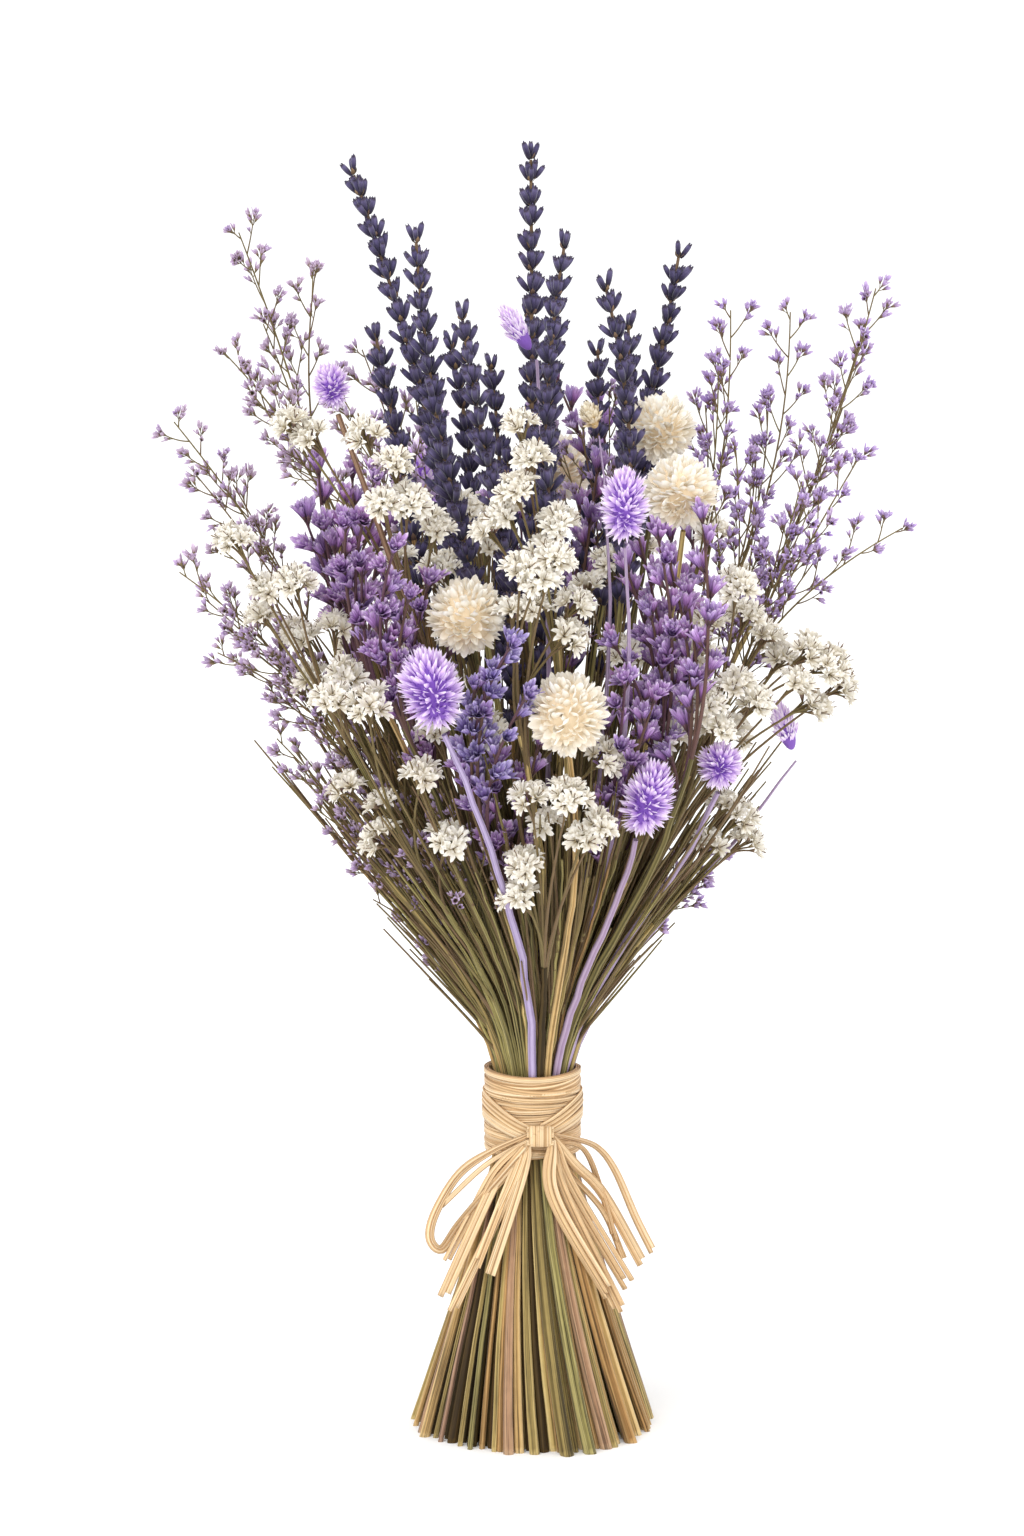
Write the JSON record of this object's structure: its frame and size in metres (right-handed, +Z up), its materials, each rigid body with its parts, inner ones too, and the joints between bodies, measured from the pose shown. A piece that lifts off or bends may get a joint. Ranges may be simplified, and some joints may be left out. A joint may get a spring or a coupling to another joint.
{
  "type": "hand-tied bunch of dried flowers with lavender",
  "caption": "Mixed dried bunch of lavender, statice, sea lavender, canary grass and globe heads, tied with raffia and standing on its splayed cut stems.",
  "frame": {"origin": "on the floor under the middle of the bunch's box, close under the tie", "axes": "+Z up along the stems, -Y the front with the knot, +X to the right seen from the front"},
  "size_m": [0.2528, 0.2114, 0.44],
  "materials": {
    "lavender": "dry, matt, downy buds",
    "globe_amaranth": "dry, papery, faint sheen",
    "canary_grass": "dyed, dry, matt",
    "violet_statice": "dry, papery",
    "white_statice": "dry, papery",
    "sea_lavender": "dry, papery",
    "raffia": "flat dry leaf strip, soft sheen"
  },
  "bodies": {
    "root": {"lavender_01": "lavender", "lavender_02": "lavender", "lavender_03": "lavender", "lavender_04": "lavender", "lavender_05": "lavender", "lavender_06": "lavender", "lavender_07": "lavender", "lavender_08": "lavender", "lavender_09": "lavender", "lavender_10": "lavender", "lavender_11": "lavender", "globe_amaranth_01": "globe_amaranth", "globe_amaranth_02": "globe_amaranth", "globe_amaranth_03": "globe_amaranth", "globe_amaranth_04": "globe_amaranth", "globe_amaranth_05": "globe_amaranth", "canary_grass_01": "canary_grass", "canary_grass_02": "canary_grass", "canary_grass_03": "canary_grass", "canary_grass_04": "canary_grass", "canary_grass_05": "canary_grass", "canary_grass_06": "canary_grass", "canary_grass_07": "canary_grass", "canary_grass_08": "canary_grass", "canary_grass_09": "canary_grass", "violet_statice_01": "violet_statice", "violet_statice_02": "violet_statice", "violet_statice_03": "violet_statice", "violet_statice_04": "violet_statice", "violet_statice_05": "violet_statice", "violet_statice_06": "violet_statice", "violet_statice_07": "violet_statice", "violet_statice_08": "violet_statice", "white_statice_01": "white_statice", "white_statice_02": "white_statice", "white_statice_03": "white_statice", "white_statice_04": "white_statice", "white_statice_05": "white_statice", "white_statice_06": "white_statice", "white_statice_07": "white_statice", "white_statice_08": "white_statice", "white_statice_09": "white_statice", "white_statice_10": "white_statice", "white_statice_11": "white_statice", "sea_lavender_01": "sea_lavender", "sea_lavender_02": "sea_lavender", "sea_lavender_03": "sea_lavender", "sea_lavender_04": "sea_lavender", "sea_lavender_05": "sea_lavender", "sea_lavender_06": "sea_lavender", "sea_lavender_07": "sea_lavender", "sea_lavender_08": "sea_lavender", "sea_lavender_09": "sea_lavender", "sea_lavender_10": "sea_lavender", "sea_lavender_11": "sea_lavender", "raffia_wrap": "raffia", "raffia_knot": "raffia", "raffia_bow_left": "raffia", "raffia_bow_right": "raffia"}
  },
  "joints": []
}
